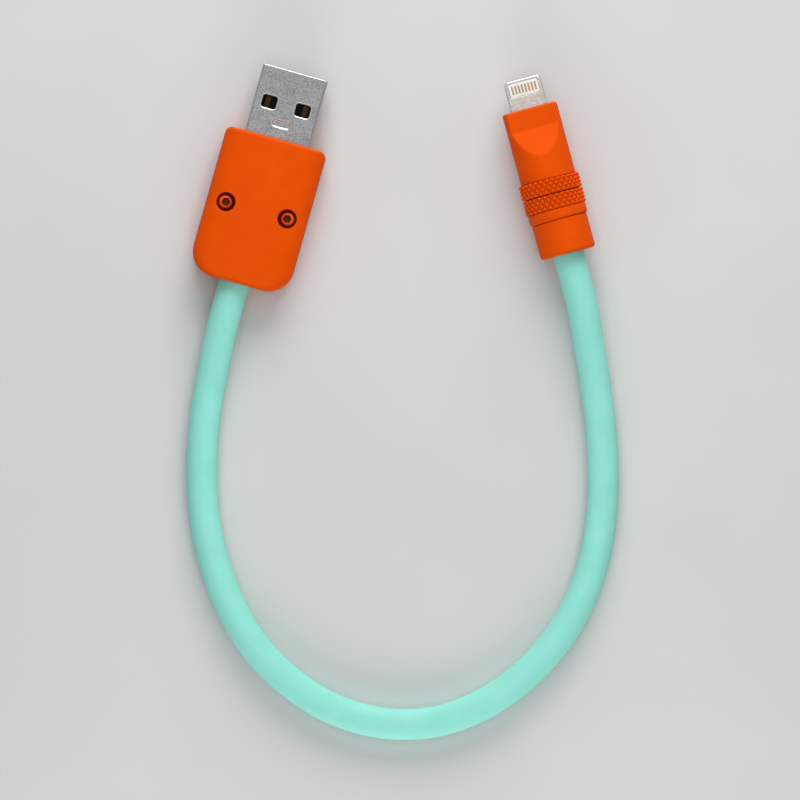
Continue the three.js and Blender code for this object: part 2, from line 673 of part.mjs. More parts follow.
// ---------- Circuit board ----------
const onBoard = boardTop + SOLDER_GAP;
const circuitBoard = block(boardWidth, BOARD_START, boardFront, -boardTop, boardTop);
const chip = block(
  CHIP_SIZE, CHIP_PLACE - CHIP_SIZE / 2, CHIP_PLACE + CHIP_SIZE / 2, onBoard, onBoard + CHIP_HEIGHT,
);
phonePlug.add(piece("phone_circuit_board", circuitBoard, BOARD_GREEN));
phonePlug.add(piece("phone_control_chip", chip, BLACK));
CAPACITOR_PLACES.forEach((x, i) => {
  const [width, length, height] = CAPACITOR_SIZE;
  const capacitor = block(width, CHIP_PLACE, CHIP_PLACE + length, -onBoard - height, -onBoard, x);
  phonePlug.add(piece("phone_capacitor_" + (i + 1), capacitor, CERAMIC));
});

// ---------- Cable ----------
const route = new THREE.CatmullRomCurve3(ROUTE.map((p) => new THREE.Vector3(...p)), false, "centripetal");

function circle(radius, sides) {
  const angles = Array.from({ length: sides }, (_, i) => (2 * Math.PI * i) / sides);
  return polygon(angles.map((a) => [radius * Math.cos(a), radius * Math.sin(a)]));
}

function swept(section, path, steps) {
  return solidOf(new THREE.ExtrudeGeometry(section, { steps, extrudePath: path, bevelEnabled: false }));
}

function hose(outer, inner) {
  const section = circle(outer, CABLE_SIDES);
  section.holes.push(circle(inner, CABLE_SIDES));
  return swept(section, route, CABLE_STEPS);
}

const shieldInner = WIRE_SPACING * Math.SQRT1_2 + WIRE_RADIUS + WIRE_ROOM;
const shieldOuter = shieldInner + SHIELD_WALL;
const cable = new THREE.Group();
cable.add(piece("cable_jacket", hose(CABLE_RADIUS, shieldOuter + SHIELD_GAP), MINT));
cable.add(piece("cable_shield", hose(shieldOuter, shieldInner), BRAID));

// A wire runs beside the cable's centreline, at a place across it and over it.
function besideRoute(aside, above) {
  return Array.from({ length: CABLE_STEPS + 1 }, (_, i) => {
    const u = i / CABLE_STEPS;
    const along = route.getTangentAt(u);
    const side = new THREE.Vector3(along.y, -along.x, 0).normalize();
    const point = route.getPointAt(u).addScaledVector(side, aside);
    point.z += above;
    return point;
  });
}

const wireLane = SCREW_SPACING / 2 - bossRadius - WIRE_RADIUS - WIRE_ROOM; // between the screw bosses

// From the tail of its contact in the USB plug, through the cable, to the phone plug's board.
function wire(contactPlace, aside, above) {
  const wireHeight = contactTop + WIRE_RADIUS + SOLDER_GAP;
  const usbSide = [
    [contactPlace, flangeRear - WIRE_ROOM, wireHeight],
    [contactPlace, flangeRear - USB_TAIL_LENGTH, wireHeight],
    [(contactPlace / USB_CONTACT_PLACES[3]) * wireLane, SCREW_PLACE, (wireHeight + above) / 2],
    [CABLE_OFFSET - aside * WIRE_SPREAD, cavityRear + 2 * WIRE_SPREAD, above],
  ].map((p) => new THREE.Vector3(...p).applyMatrix4(usbPlug.matrix));
  const solderHeight = Math.sign(above) * (boardTop + WIRE_RADIUS + SOLDER_GAP);
  const solderPlace = Math.sign(aside) * WIRE_SPACING;
  const phoneSide = [
    [aside, SOLDER_PLACE - 2 * WIRE_SPREAD, above],
    [(aside + solderPlace) / 2, SOLDER_PLACE - WIRE_SPREAD, (above + solderHeight) / 2],
    [solderPlace, SOLDER_PLACE, solderHeight],
    [solderPlace, BOARD_START + SOLDER_LENGTH, solderHeight],
  ].map((p) => new THREE.Vector3(...p).applyMatrix4(phonePlug.matrix));
  const points = [...usbSide, ...besideRoute(aside, above), ...phoneSide];
  const path = new THREE.CatmullRomCurve3(points, false, "centripetal");
  return swept(circle(WIRE_RADIUS, WIRE_SIDES), path, points.length + 4);
}

const half = WIRE_SPACING / 2;
const WIRES = [
  ["wire_power", USB_CONTACT_PLACES[0], half, half, 0xc22222],
  ["wire_data_minus", USB_CONTACT_PLACES[1], half, -half, 0xe8e8e4],
  ["wire_data_plus", USB_CONTACT_PLACES[2], -half, -half, 0x2a8a3c],
  ["wire_ground", USB_CONTACT_PLACES[3], -half, half, 0x202020],
];
for (const [name, place, aside, above, color] of WIRES) {
  cable.add(piece(name, wire(place, aside, above), wireFinish(color)));
}

const chargingCable = new THREE.Group();
chargingCable.add(usbPlug, phonePlug, cable);
export default chargingCable;
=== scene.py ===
"""The looks of a short charging cable: a flat USB plug, a round phone plug and the soft cable between them.

Shapes are made in millimetres in each plug's own frame (y = 0 at the face that the cable leaves, +Y towards
the device, z = 0 on the plug's axis) and are then placed in the row frame, in metres.
"""

import math

import bpy
from mathutils import Matrix, Vector


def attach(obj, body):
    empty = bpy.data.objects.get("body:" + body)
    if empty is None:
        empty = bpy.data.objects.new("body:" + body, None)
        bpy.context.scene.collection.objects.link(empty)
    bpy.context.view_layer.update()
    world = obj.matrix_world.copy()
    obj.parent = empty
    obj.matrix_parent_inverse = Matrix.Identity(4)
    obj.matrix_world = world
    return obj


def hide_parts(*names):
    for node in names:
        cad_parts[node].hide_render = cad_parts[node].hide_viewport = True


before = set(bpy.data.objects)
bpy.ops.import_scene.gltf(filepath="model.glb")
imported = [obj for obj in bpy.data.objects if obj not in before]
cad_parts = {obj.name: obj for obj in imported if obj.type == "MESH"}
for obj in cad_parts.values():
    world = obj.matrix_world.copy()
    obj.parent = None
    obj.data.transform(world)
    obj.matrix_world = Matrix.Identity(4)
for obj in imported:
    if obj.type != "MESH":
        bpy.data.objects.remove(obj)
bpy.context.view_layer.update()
scene = bpy.context.scene
scene.view_settings.view_transform = "Standard"

MM = 0.001

# ---------- Sizes, in millimetres: the part's own, with smaller gaps between the rings ----------
USB_EXIT = (-28.31, -18.92)
USB_TURN = -15.7
PHONE_EXIT = (31.36, -13.53)
PHONE_TURN = 15.05

CABLE_RADIUS = 2.8
CABLE_OFFSET = -0.4
OUTLET_RADIUS = 2.92
ROUTE = [
    (-27.48, -14.48, 4.7),
    (-28.7, -18.81, 4.7),
    (-30.05, -23.6, 4.6),
    (-31.35, -28.6, 4.1),
    (-32.9, -36.0, 3.2),
    (-34.05, -43.0, 2.85),
    (-34.62, -51.6, 2.85),
    (-34.25, -60.3, 2.85),
    (-32.5, -68.8, 2.85),
    (-29.5, -76.9, 2.85),
    (-25.1, -84.3, 2.85),
    (-19.1, -90.4, 2.85),
    (-11.8, -95.2, 2.85),
    (-3.65, -97.85, 2.85),
    (5.0, -98.25, 2.85),
    (13.3, -96.05, 2.85),
    (20.8, -91.75, 2.85),
    (27.1, -85.9, 2.85),
    (32.1, -78.9, 2.85),
    (35.45, -70.9, 2.85),
    (37.25, -62.3, 2.85),
    (37.73, -53.8, 2.85),
    (37.3, -45.1, 2.9),
    (36.19, -36.6, 3.3),
    (35.0, -29.3, 4.3),
    (33.85, -22.9, 5.2),
    (32.66, -18.36, 5.55),
    (31.36, -13.53, 5.6),
    (30.06, -8.7, 5.6),
]
ROUTE_STEPS = 8  # points of the smooth line between two points of the route

HOUSING_LENGTH = 26.9
HOUSING_HALF_WIDTH = 9.3
HOUSING_HALF_THICKNESS = 4.7
HOUSING_FRONT_CORNER = 1.2
HOUSING_REAR_CORNER = 4.7
CROWN_RADIUS = 22.0
TOP_EDGE = (3.0, 0.8)  # how far the rounded edge reaches in, at the sides and at the ends
TOP_DROP = (1.86, 0.8)  # and down
BOTTOM_EDGE = (1.0, 0.8)
HALF_GAP = 0.05  # from the split plane to each half
CAVITY = (5.0, 20.4)  # from the rear face
CAVITY_HALF_WIDTH = 7.4
CAVITY_HALF_HEIGHT = 2.9
BOSS_RADIUS = 2.3
INSERT_HOLE = (1.4, -2.9)  # radius and floor
CRIMP_SEAT_RADIUS = 3.45
REAR_WALL = 2.0

SCREW_X = 5.7
SCREW_Y = 13.55
SINK_RADIUS = 1.725
SINK_FLOOR = 2.3
HEAD_RADIUS = 1.3
HEAD_SEAT = 2.35
HEAD_TOP = 3.65
SHANK_RADIUS = 0.75
SOCKET_RADIUS = 0.78
SOCKET_DEPTH = 1.0

SHELL_WIDTH = 12.0
SHELL_HEIGHT = 4.5
SHELL_SHEET = 0.3
SHELL_CORNER = 0.4
SHELL_REAR = 20.5
SHELL_MOUTH = 39.4
WINDOW = (2.6, 2.3, 0.5)
WINDOW_X = 3.1
WINDOW_Y = SHELL_MOUTH - 6.4
DIMPLE = (3.35, 1.35, 0.6)
DIMPLE_Y = SHELL_MOUTH - 9.8
DIMPLE_DEPTH = 0.16

PHONE_LENGTH = 27.0
PHONE_RADIUS = 5.05
AXIS_HEIGHT = 5.6
BARREL_LENGTH = 6.3
COLLAR = (6.31, 8.2)
COLLAR_RADIUS = 5.3
RING = (8.26, 13.78)
RING_BORE = 4.35
SHOULDER = 13.8
SPIGOT_RADIUS = 4.25
SPIGOT_START = 2.3
CHAMBER_RADIUS = 3.45
CHAMBER_END = 19.6
KNURL_PEAK = 5.6
KNURL_VALLEY = 5.2
KNURL_COUNT = 30
KNURL_PITCH = 0.68
KNURL_LIP = 0.33
KNURL_END = 0.03  # how far the knurl takes to come down at its ends
GROOVE_RADIUS = 4.95
FLAT_HEIGHT = 2.5
FLAT_START = PHONE_LENGTH - 3.74
RAMP_SLOPE = (PHONE_RADIUS - FLAT_HEIGHT) / 5.06
FRONT_EDGE = 0.45

BLADE_END = 32.5
BLADE_REAR = 20.4
BLADE_HALF_WIDTH = 3.35
BLADE_HALF_THICKNESS = 0.75
BLADE_CORNER = 0.9
PORT = (5.5, 2.6, 0.5)
PORT_Y = BLADE_END - 0.45 - 1.3
PAD_PITCH = 0.6
PAD = (0.3, 1.56)
PAD_Y = BLADE_END - 0.96 - 0.78


# ---------- Camera and cable ----------
def camera():
    """The photograph is taken from straight above, with a long lens."""
    lens = bpy.data.cameras.new("camera")
    lens.lens = 300
    lens.sensor_width = 36
    seen = bpy.data.objects.new("camera", lens)
    seen.location = (1.1 * MM, -39.9 * MM, 1.2045)
    scene.collection.objects.link(seen)
    scene.camera = seen


def between(a, b, c, d, share):
    """A point of the centripetal Catmull-Rom curve from b to c."""
    knots = [0.0]
    for p, q in ((a, b), (b, c), (c, d)):
        knots.append(knots[-1] + math.sqrt((q - p).length))
    t = knots[1] + share * (knots[2] - knots[1])

    def mixed(p, q, i, j):
        return p * ((knots[j] - t) / (knots[j] - knots[i])) + q * ((t - knots[i]) / (knots[j] - knots[i]))

    ab, bc, cd = mixed(a, b, 0, 1), mixed(b, c, 1, 2), mixed(c, d, 2, 3)
    return mixed(mixed(ab, bc, 0, 2), mixed(bc, cd, 1, 3), 1, 2)


def smooth_line(points, steps):
    """The curve through the points, ends included."""
    known = [Vector(p) for p in points]
    known = [2 * known[0] - known[1]] + known + [2 * known[-1] - known[-2]]
    line = [
        between(*known[i : i + 4], k / steps)
        for i in range(len(known) - 3)
        for k in range(steps)
    ]
    return [*line, known[-2]]


def cable(look):
    """One soft round cable, as a curve with a round section."""
    line = smooth_line(ROUTE, ROUTE_STEPS)
    curve = bpy.data.curves.new("cable", "CURVE")
    curve.dimensions = "3D"
    curve.bevel_depth = CABLE_RADIUS * MM
    curve.bevel_resolution = 10
    curve.use_fill_caps = True
    spline = curve.splines.new("POLY")
    spline.points.add(len(line) - 1)
    for point, place in zip(spline.points, line):
        point.co = (*(place * MM), 1)
    spline.use_smooth = True
    curve.materials.append(look)
    made = bpy.data.objects.new("cable", curve)
    scene.collection.objects.link(made)
    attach(made, "root")
    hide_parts("cable_jacket")


# ---------- Mesh building ----------
def plug_place(exit_point, turn_degrees, height):
    """From a plug's own frame, in millimetres, to the row frame, in metres."""
    moved = Matrix.Translation((exit_point[0] * MM, exit_point[1] * MM, height * MM))
    return moved @ Matrix.Rotation(math.radians(turn_degrees), 4, "Z") @ Matrix.Scale(MM, 4)


USB_PLACE = plug_place(USB_EXIT, USB_TURN, HOUSING_HALF_THICKNESS)
PHONE_PLACE = plug_place(PHONE_EXIT, PHONE_TURN, AXIS_HEIGHT)


def loft(name, rings, looped=False):
    """Quads between rings of points, with a flat cap on each end unless the rings run round in a loop."""
    count = len(rings[0])
    pairs = [(k, k + 1) for k in range(len(rings) - 1)]
    if looped:
        pairs.append((len(rings) - 1, 0))
    faces = []
    for low, high in pairs:
        for j in range(count):
            k = (j + 1) % count
            faces.append((low * count + j, low * count + k, high * count + k, high * count + j))
    if not looped:
        faces.append(tuple(range(count))[::-1])
        faces.append(tuple(range((len(rings) - 1) * count, len(rings) * count)))
    mesh = bpy.data.meshes.new(name)
    mesh.from_pydata([p for ring in rings for p in ring], [], faces)
    mesh.validate()
    made = bpy.data.objects.new(name, mesh)
    scene.collection.objects.link(made)
    outward(made)
    return made


def outward(obj):
    """Turns the faces outwards if the closed mesh came out inside out."""
    mesh = obj.data
    volume = 0.0
    for face in mesh.polygons:
        first, *rest = [mesh.vertices[i].co for i in face.vertices]
        for a, b in zip(rest, rest[1:]):
            volume += first.dot(a.cross(b))
    if volume < 0:
        mesh.flip_normals()


def baked(obj):
    """Applies the modifiers to the mesh."""
    graph = bpy.context.evaluated_depsgraph_get()
    result = bpy.data.meshes.new_from_object(obj.evaluated_get(graph))
    obj.modifiers.clear()
    obj.data = result


def cut(obj, *tools):
    """Takes the tools away from the object and removes them."""
    for tool in tools:
        step = obj.modifiers.new("cut", "BOOLEAN")
        step.operation = "DIFFERENCE"
        step.solver = "EXACT"
        step.object = tool
        baked(obj)
        bpy.data.objects.remove(tool)
    return obj


def softened(obj, width, limit=35, segments=2):
    """Rounds the edges sharper than the limit."""
    step = obj.modifiers.new("edges", "BEVEL")
    step.width = width
    step.segments = segments
    step.limit_method = "ANGLE"
    step.angle_limit = math.radians(limit)
    step.use_clamp_overlap = False
    return obj


def edge_faces(mesh):
    """The narrow faces of the rounded edges of a piece that is flat along its plug's axes."""
    return [face.index for face in mesh.polygons if max(map(abs, face.normal)) < 0.985]


def finished(obj, place, look, slot, *nodes, crease=40, edge_highlight_look=None):
    """Puts a piece where the CAD has it, with its material, in place of these CAD nodes."""
    baked(obj)
    mesh = obj.data
    edges = edge_faces(mesh)
    mesh.transform(place)
    mesh.shade_smooth()
    mesh.set_sharp_from_angle(angle=math.radians(crease))
    mesh.materials.clear()
    mesh.materials.append(look)
    # the faces of rounded edges get their own brighter metal, a painted highlight
    if edge_highlight_look:
        mesh.materials.append(edge_highlight_look)
        for index in edges:
            mesh.polygons[index].material_index = 1
    even = obj.modifiers.new("even_shading", "WEIGHTED_NORMAL")
    even.keep_sharp = True
    even.weight = 80
    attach(obj, "root")
    if nodes:
        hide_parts(*nodes)
    return obj


def arc(cx, cy, radius, start, end, steps):
    angles = [math.radians(start + (end - start) * i / steps) for i in range(steps + 1)]
    return [(cx + radius * math.cos(a), cy + radius * math.sin(a)) for a in angles]


def outline(half_width, low, high, low_radius, high_radius, corner_steps=6, side_steps=1):
    """The points of a rectangle with rounded corners, always as many for the same steps."""
    corners = [
        arc(half_width - high_radius, high - high_radius, high_radius, 0, 90, corner_steps),
        arc(high_radius - half_width, high - high_radius, high_radius, 90, 180, corner_steps),
        arc(low_radius - half_width, low + low_radius, low_radius, 180, 270, corner_steps),
        arc(half_width - low_radius, low + low_radius, low_radius, 270, 360, corner_steps),
    ]
    points = []
    for corner, following in zip(corners, corners[1:] + corners[:1]):
        points += corner
        (x0, y0), (x1, y1) = corner[-1], following[0]
        for i in range(1, side_steps):
            share = i / side_steps
            points.append((x0 + share * (x1 - x0), y0 + share * (y1 - y0)))
    return points


def box_outline(width, length, radius, x=0.0, y=0.0, steps=6):
    flat = outline(width / 2, -length / 2, length / 2, radius, radius, steps)
    return [(x + px, y + py) for px, py in flat]


def upright(name, flat, low, high):
    """A plate of that outline between two heights."""
    return loft(name, [[(x, y, z) for x, y in flat] for z in (low, high)])


def along(name, flat, rear, front):
    """A bar of that section, given as (x, z), along the plug."""
    return loft(name, [[(x, y, z) for x, z in flat] for y in (rear, front)])


def lathe(name, profile, steps=96, x=0.0, looped=False):
    """A solid of revolution about the plug's axis, from (radius, y) points."""
    rings = []
    for radius, y in profile:
        circle = arc(x, 0, radius, 0, 360, steps)[:-1]
        rings.append([(px, y, pz) for px, pz in circle])
    return loft(name, rings, looped)


def post(name, profile, x, y, steps=48, turn=0.0):
    """A solid of revolution about an upright line, from (radius, z) points."""
    rings = []
    for radius, z in profile:
        circle = arc(x, y, radius, turn, turn + 360, steps)[:-1]
        rings.append([(px, py, z) for px, py in circle])
    return loft(name, rings)


def rounded(points, radius, steps=4):
    """An open profile with each inner corner rounded."""
    line = [Vector(p) for p in points]
    result = [tuple(line[0])]
    for before, corner, after in zip(line, line[1:], line[2:]):
        reach = min(radius, (before - corner).length * 0.45, (after - corner).length * 0.45)
        start = corner + (before - corner).normalized() * reach
        end = corner + (after - corner).normalized() * reach
        for i in range(steps + 1):
            t = i / steps
            result.append(tuple(start * (1 - t) ** 2 + corner * 2 * t * (1 - t) + end * t**2))
    result.append(tuple(line[-1]))
    return result


def soft_least(a, b, blend):
    """The smaller of two numbers, with the change from one to the other rounded over."""
    share = max(blend - abs(a - b), 0) / blend
    return min(a, b) - share * share * blend / 4


# ---------- Materials ----------
def node(tree, kind, inputs=(), **settings):
    """A node whose inputs are (socket, number, colour or another node's output)."""
    made = tree.nodes.new(kind)
    for name, value in settings.items():
        setattr(made, name, value)
    for socket, value in inputs:
        if isinstance(value, bpy.types.NodeSocket):
            tree.links.new(value, made.inputs[socket])
        else:
            made.inputs[socket].default_value = value
    return made


def blank(name, **sockets):
    made = bpy.data.materials.new(name)
    made.use_nodes = True
    shader = made.node_tree.nodes["Principled BSDF"]
    for socket, value in sockets.items():
        shader.inputs[socket.replace("_", " ")].default_value = value
    return made, made.node_tree, shader


def noise(tree, size, detail=2.0, stretch=None):
    """Noise whose spots are about size millimetres across."""
    place = node(tree, "ShaderNodeTexCoord").outputs["Object"]
    if stretch:
        turn, scale = stretch
        mapped = [("Vector", place), ("Rotation", (0, 0, math.radians(turn))), ("Scale", scale)]
        place = node(tree, "ShaderNodeMapping", mapped).outputs["Vector"]
    inputs = [("Vector", place), ("Scale", 1 / (size * MM)), ("Detail", detail), ("Roughness", 0.55)]
    return node(tree, "ShaderNodeTexNoise", inputs).outputs["Fac"]


def tones(tree, amount, colors, low=0.3, high=0.7):
    """A colour that drifts from the first to the last as the amount goes from low to high."""
    ramp = node(tree, "ShaderNodeValToRGB", [("Fac", amount)])
    stops = ramp.color_ramp.elements
    for stop, position, color in zip(stops, (low, high), colors):
        stop.position = position
        stop.color = (*color, 1)
    return ramp.outputs["Color"]


def ranged(tree, amount, low, high):
    inputs = [("Value", amount), ("From Min", 0.3), ("From Max", 0.7), ("To Min", low), ("To Max", high)]
    return node(tree, "ShaderNodeMapRange", inputs).outputs["Result"]


def relief(tree, height, depth, below=None, strength=1.0):
    """A bump of that depth in millimetres, over another one if given."""
    inputs = [("Height", height), ("Distance", depth * MM), ("Strength", strength)]
    if below:
        inputs.append(("Normal", below))
    return node(tree, "ShaderNodeBump", inputs).outputs["Normal"]


def painted_recess_shade(tree, base, recess_shade_color, reach):
    """The base colour, which goes over to the shade colour in grooves about that many millimetres wide:
    painted shade, found by an ambient occlusion node.
    """
    open_share = node(tree, "ShaderNodeAmbientOcclusion", [("Distance", reach * MM)]).outputs["AO"]
    inputs = [("Value", open_share), ("From Min", 0.25), ("From Max", 0.85)]
    share = node(tree, "ShaderNodeMapRange", inputs).outputs["Result"]
    mixed = node(tree, "ShaderNodeMixRGB", [("Fac", share), ("Color1", (*recess_shade_color, 1)), ("Color2", base)])
    return mixed.outputs["Color"]


def moulded(name, colors, roughness, grain, depth, blotch=4.0, recess_shade_color=None, reach=0.8, **sockets):
    """Moulded plastic or rubber: two close colours, uneven gloss, a fine grain and, if a shade colour is
    given, hollows darkened as painted shade.
    """
    made, tree, shader = blank(name, **sockets)
    fine = noise(tree, grain)
    broad = noise(tree, blotch, 3.0)
    waves = relief(tree, noise(tree, 12 * grain, 1.0), 2 * depth)
    base = tones(tree, broad, colors)
    # if a shade colour is given, hollows are darkened as painted shade
    if recess_shade_color:
        base = painted_recess_shade(tree, base, recess_shade_color, reach)
    tree.links.new(base, shader.inputs["Base Color"])
    tree.links.new(ranged(tree, fine, *roughness), shader.inputs["Roughness"])
    tree.links.new(relief(tree, fine, depth, waves), shader.inputs["Normal"])
    return made


def metal(name, colors, roughness, grain, depth, turn=0.0, stretch=(1, 1, 1), **sockets):
    """Metal: a grain that may be drawn out along one way, over slow changes of gloss."""
    made, tree, shader = blank(name, Metallic=1.0, **sockets)
    fine = noise(tree, grain, 4.0, (turn, stretch))
    cloud = noise(tree, 3.0, 3.0)
    tree.links.new(tones(tree, fine, colors), shader.inputs["Base Color"])
    tree.links.new(ranged(tree, cloud, *roughness), shader.inputs["Roughness"])
    tree.links.new(relief(tree, fine, depth), shader.inputs["Normal"])
    return made


def braided(name, colors, strand):
    """Fine wires laid over and under each other."""
    made, tree, shader = blank(name, Metallic=1.0, Roughness=0.42)
    place = node(tree, "ShaderNodeTexCoord").outputs["Object"]
    strands = []
    for turn in (45, -45):
        mapped = [("Vector", place), ("Rotation", (0, 0, math.radians(turn)))]
        turned = node(tree, "ShaderNodeMapping", mapped).outputs["Vector"]
        wave = [("Vector", turned), ("Scale", 1 / (strand * MM)), ("Distortion", 0.0)]
        strands.append(node(tree, "ShaderNodeTexWave", wave).outputs["Fac"])
    inputs = [(0, strands[0]), (1, strands[1])]
    weave = node(tree, "ShaderNodeMath", inputs, operation="MAXIMUM").outputs["Value"]
    tree.links.new(tones(tree, weave, colors), shader.inputs["Base Color"])
    tree.links.new(relief(tree, weave, 0.06), shader.inputs["Normal"])
    return made


def circuit(name, mask, copper, track):
    """Solder mask over tracks, which show as paler, raised lines."""
    made, tree, shader = blank(name, Roughness=0.38)
    place = node(tree, "ShaderNodeTexCoord").outputs["Object"]
    inputs = [("Vector", place), ("Scale", 1 / (track * MM)), ("Randomness", 0.2)]
    cells = node(tree, "ShaderNodeTexVoronoi", inputs, distance="MANHATTAN").outputs["Distance"]
    fine = noise(tree, 0.15)
    tree.links.new(tones(tree, cells, (copper, mask), 0.18, 0.22), shader.inputs["Base Color"])
    tree.links.new(relief(tree, cells, 0.03, relief(tree, fine, 0.01)), shader.inputs["Normal"])
    return made


# painted shade: the third colour darkens knurl valleys, ring gaps and screw sinks
orange = moulded(
    "orange_soft_touch", ((0.80, 0.080, 0.0008), (0.84, 0.086, 0.0012)), (0.5, 0.6), 0.09, 0.004,
    recess_shade_color=(0.22, 0.012, 0.0005), Specular_IOR_Level=0.04,
)
# painted shade: the third colour darkens the screw sockets and the gaps round the heads, over a wider reach
lacquer = moulded(
    "screw_lacquer", ((0.80, 0.080, 0.002), (0.84, 0.090, 0.003)), (0.4, 0.5), 0.12, 0.003,
    recess_shade_color=(0.13, 0.007, 0.003), reach=1.6, Specular_IOR_Level=0.15,
)
mint = moulded(
    "mint_rubber", ((0.30, 0.78, 0.66), (0.33, 0.82, 0.71)), (0.5, 0.62), 0.08, 0.004, 6.0,
    Specular_IOR_Level=0.2, Subsurface_Weight=0.3, Subsurface_Scale=0.0012, Subsurface_Radius=(1, 1.4, 1.2),
)
steel = metal("shell_steel", ((0.16, 0.16, 0.16), (0.36, 0.36, 0.355)), (0.34, 0.46), 0.26, 0.02)
# brighter steel for the faces of rounded edges: painted highlight
edge_highlight_steel = metal("edge_highlight_steel", ((0.58, 0.58, 0.58), (0.72, 0.72, 0.71)), (0.3, 0.4), 0.3, 0.002)
nickel = metal(
    "blade_steel", ((0.33, 0.295, 0.265), (0.58, 0.525, 0.485)), (0.32, 0.44), 0.22, 0.012,
    -PHONE_TURN, (0.35, 1, 1),
)
# brighter nickel for the faces of rounded edges: painted highlight
edge_highlight_nickel = metal("edge_highlight_nickel", ((0.66, 0.62, 0.58), (0.80, 0.76, 0.72)), (0.28, 0.38), 0.3, 0.002)
gold = metal("contact_gold", ((0.30, 0.17, 0.06), (0.46, 0.29, 0.11)), (0.3, 0.45), 0.1, 0.003)
# a darker copy of the contact gold: painted shade for the contacts inside the shell
shaded_usb_gold = metal("usb_contact_gold", ((0.05, 0.027, 0.010), (0.09, 0.052, 0.020)), (0.4, 0.55), 0.1, 0.003)
brass = metal("insert_brass", ((0.60, 0.40, 0.14), (0.76, 0.55, 0.24)), (0.28, 0.42), 0.2, 0.005)
crimp = metal("crimp_steel", ((0.50, 0.50, 0.49), (0.66, 0.66, 0.64)), (0.25, 0.4), 0.25, 0.006)
black = moulded(
    "contact_block", ((0.004, 0.004, 0.004), (0.009, 0.009, 0.009)), (0.5, 0.65), 0.1, 0.004,
    Specular_IOR_Level=0.12,
)
chip = moulded("chip_package", ((0.014, 0.014, 0.016), (0.028, 0.028, 0.03)), (0.5, 0.65), 0.06, 0.006)
white = moulded("insert_white", ((0.84, 0.83, 0.80), (0.91, 0.90, 0.87)), (0.35, 0.45), 0.1, 0.003)
ceramic = moulded("capacitor_ceramic", ((0.42, 0.30, 0.18), (0.52, 0.39, 0.25)), (0.4, 0.5), 0.12, 0.006)
board = circuit("circuit_board", (0.010, 0.075, 0.032), (0.05, 0.20, 0.10), 0.8)
braid = braided("shield_braid", ((0.22, 0.18, 0.14), (0.66, 0.58, 0.46)), 0.25)


def wire_look(name, color):
    light = tuple(min(1.0, c * 1.15 + 0.004) for c in color)
    return moulded(name, (color, light), (0.32, 0.42), 0.15, 0.004)


# ---------- USB plug housing ----------
def crown(x):
    return math.sqrt(CROWN_RADIUS**2 - x * x) + HOUSING_HALF_THICKNESS - CROWN_RADIUS


def housing_ring(inset_sides, inset_ends, height):
    """A ring of the outline drawn in by two amounts; height gives z from the point and its way out."""
    drawn = (inset_sides + inset_ends) / 2
    flat = outline(
        HOUSING_HALF_WIDTH - inset_sides,
        inset_ends,
        HOUSING_LENGTH - inset_ends,
        max(HOUSING_REAR_CORNER - drawn, 0.3),
        max(HOUSING_FRONT_CORNER - drawn, 0.3),
        corner_steps=10,
        side_steps=12,
    )
    middle = HOUSING_LENGTH / 2
    points = []
    for x, y in flat:
        to_side = max(abs(x) - (HOUSING_HALF_WIDTH - HOUSING_REAR_CORNER), 0.0)
        to_end = max(abs(y - middle) - (middle - HOUSING_REAR_CORNER), 0.0)
        share = to_side**2 / max(to_side**2 + to_end**2, 1e-9)
        points.append((x, y, height(x, share)))
    return points


def shrunk_ring(ring, share, z=None):
    """The ring drawn towards the line down the housing's middle."""
    low, high = HOUSING_LENGTH * 0.36, HOUSING_LENGTH * 0.64
    middle = HOUSING_LENGTH / 2
    points = []
    for x, y, old in ring:
        goal = min(max(y, low), high) if abs(y - middle) < middle else y
        nearer = (x * (1 - share), y + (goal - y) * share)
        points.append((*nearer, crown(nearer[0]) if z is None else z))
    return points


def housing_top_skin():
    """From the split plane up the wall, over the rounded edge and across the crown."""
    half_width = HOUSING_HALF_WIDTH
    wall_top = crown(half_width) - TOP_DROP[0]
    rings = [housing_ring(0, 0, lambda x, s: HALF_GAP), housing_ring(0, 0, lambda x, s: wall_top * 0.5)]
    steps = 12
    for k in range(steps + 1):
        t = k / steps
        fall = (1 - t) ** 2
        rings.append(
            housing_ring(
                TOP_EDGE[0] * t * t,
                TOP_EDGE[1] * t * t,
                lambda x, s: crown(x) - fall * (TOP_DROP[1] + (TOP_DROP[0] - TOP_DROP[1]) * s),
            )
        )
    edge = rings[-1]
    rings += [shrunk_ring(edge, share) for share in (0.14, 0.28, 0.42, 0.56, 0.7, 0.84, 0.95)]
    return loft("usb_housing_top", rings)


def housing_bottom_skin():
    low = -HOUSING_HALF_THICKNESS
    rings = [housing_ring(0, 0, lambda x, s: -HALF_GAP)]
    steps = 10
    for k in range(steps + 1):
        t = k / steps
        fall = (1 - t) ** 2
        rings.append(
            housing_ring(
                BOTTOM_EDGE[0] * t * t,
                BOTTOM_EDGE[1] * t * t,
                lambda x, s: low + fall * (BOTTOM_EDGE[1] + (BOTTOM_EDGE[0] - BOTTOM_EDGE[1]) * s),
            )
        )
    edge = rings[-1]
    rings += [shrunk_ring(edge, share, low) for share in (0.3, 0.6, 0.9)]
    return loft("usb_housing_bottom", rings)


def cavity():
    """The room inside both halves, which goes round the two screw bosses."""
    rear, front = CAVITY
    bite = math.degrees(math.acos((CAVITY_HALF_WIDTH - SCREW_X) / BOSS_RADIUS))
    right = arc(SCREW_X, SCREW_Y, BOSS_RADIUS, 360 - bite, bite, 20)
    left = [(-x, y) for x, y in reversed(right)]
    flat = [(-CAVITY_HALF_WIDTH, rear), (CAVITY_HALF_WIDTH, rear), *right]
    flat += [(CAVITY_HALF_WIDTH, front), (-CAVITY_HALF_WIDTH, front), *left]
    return upright("cavity", flat, -CAVITY_HALF_HEIGHT, CAVITY_HALF_HEIGHT)


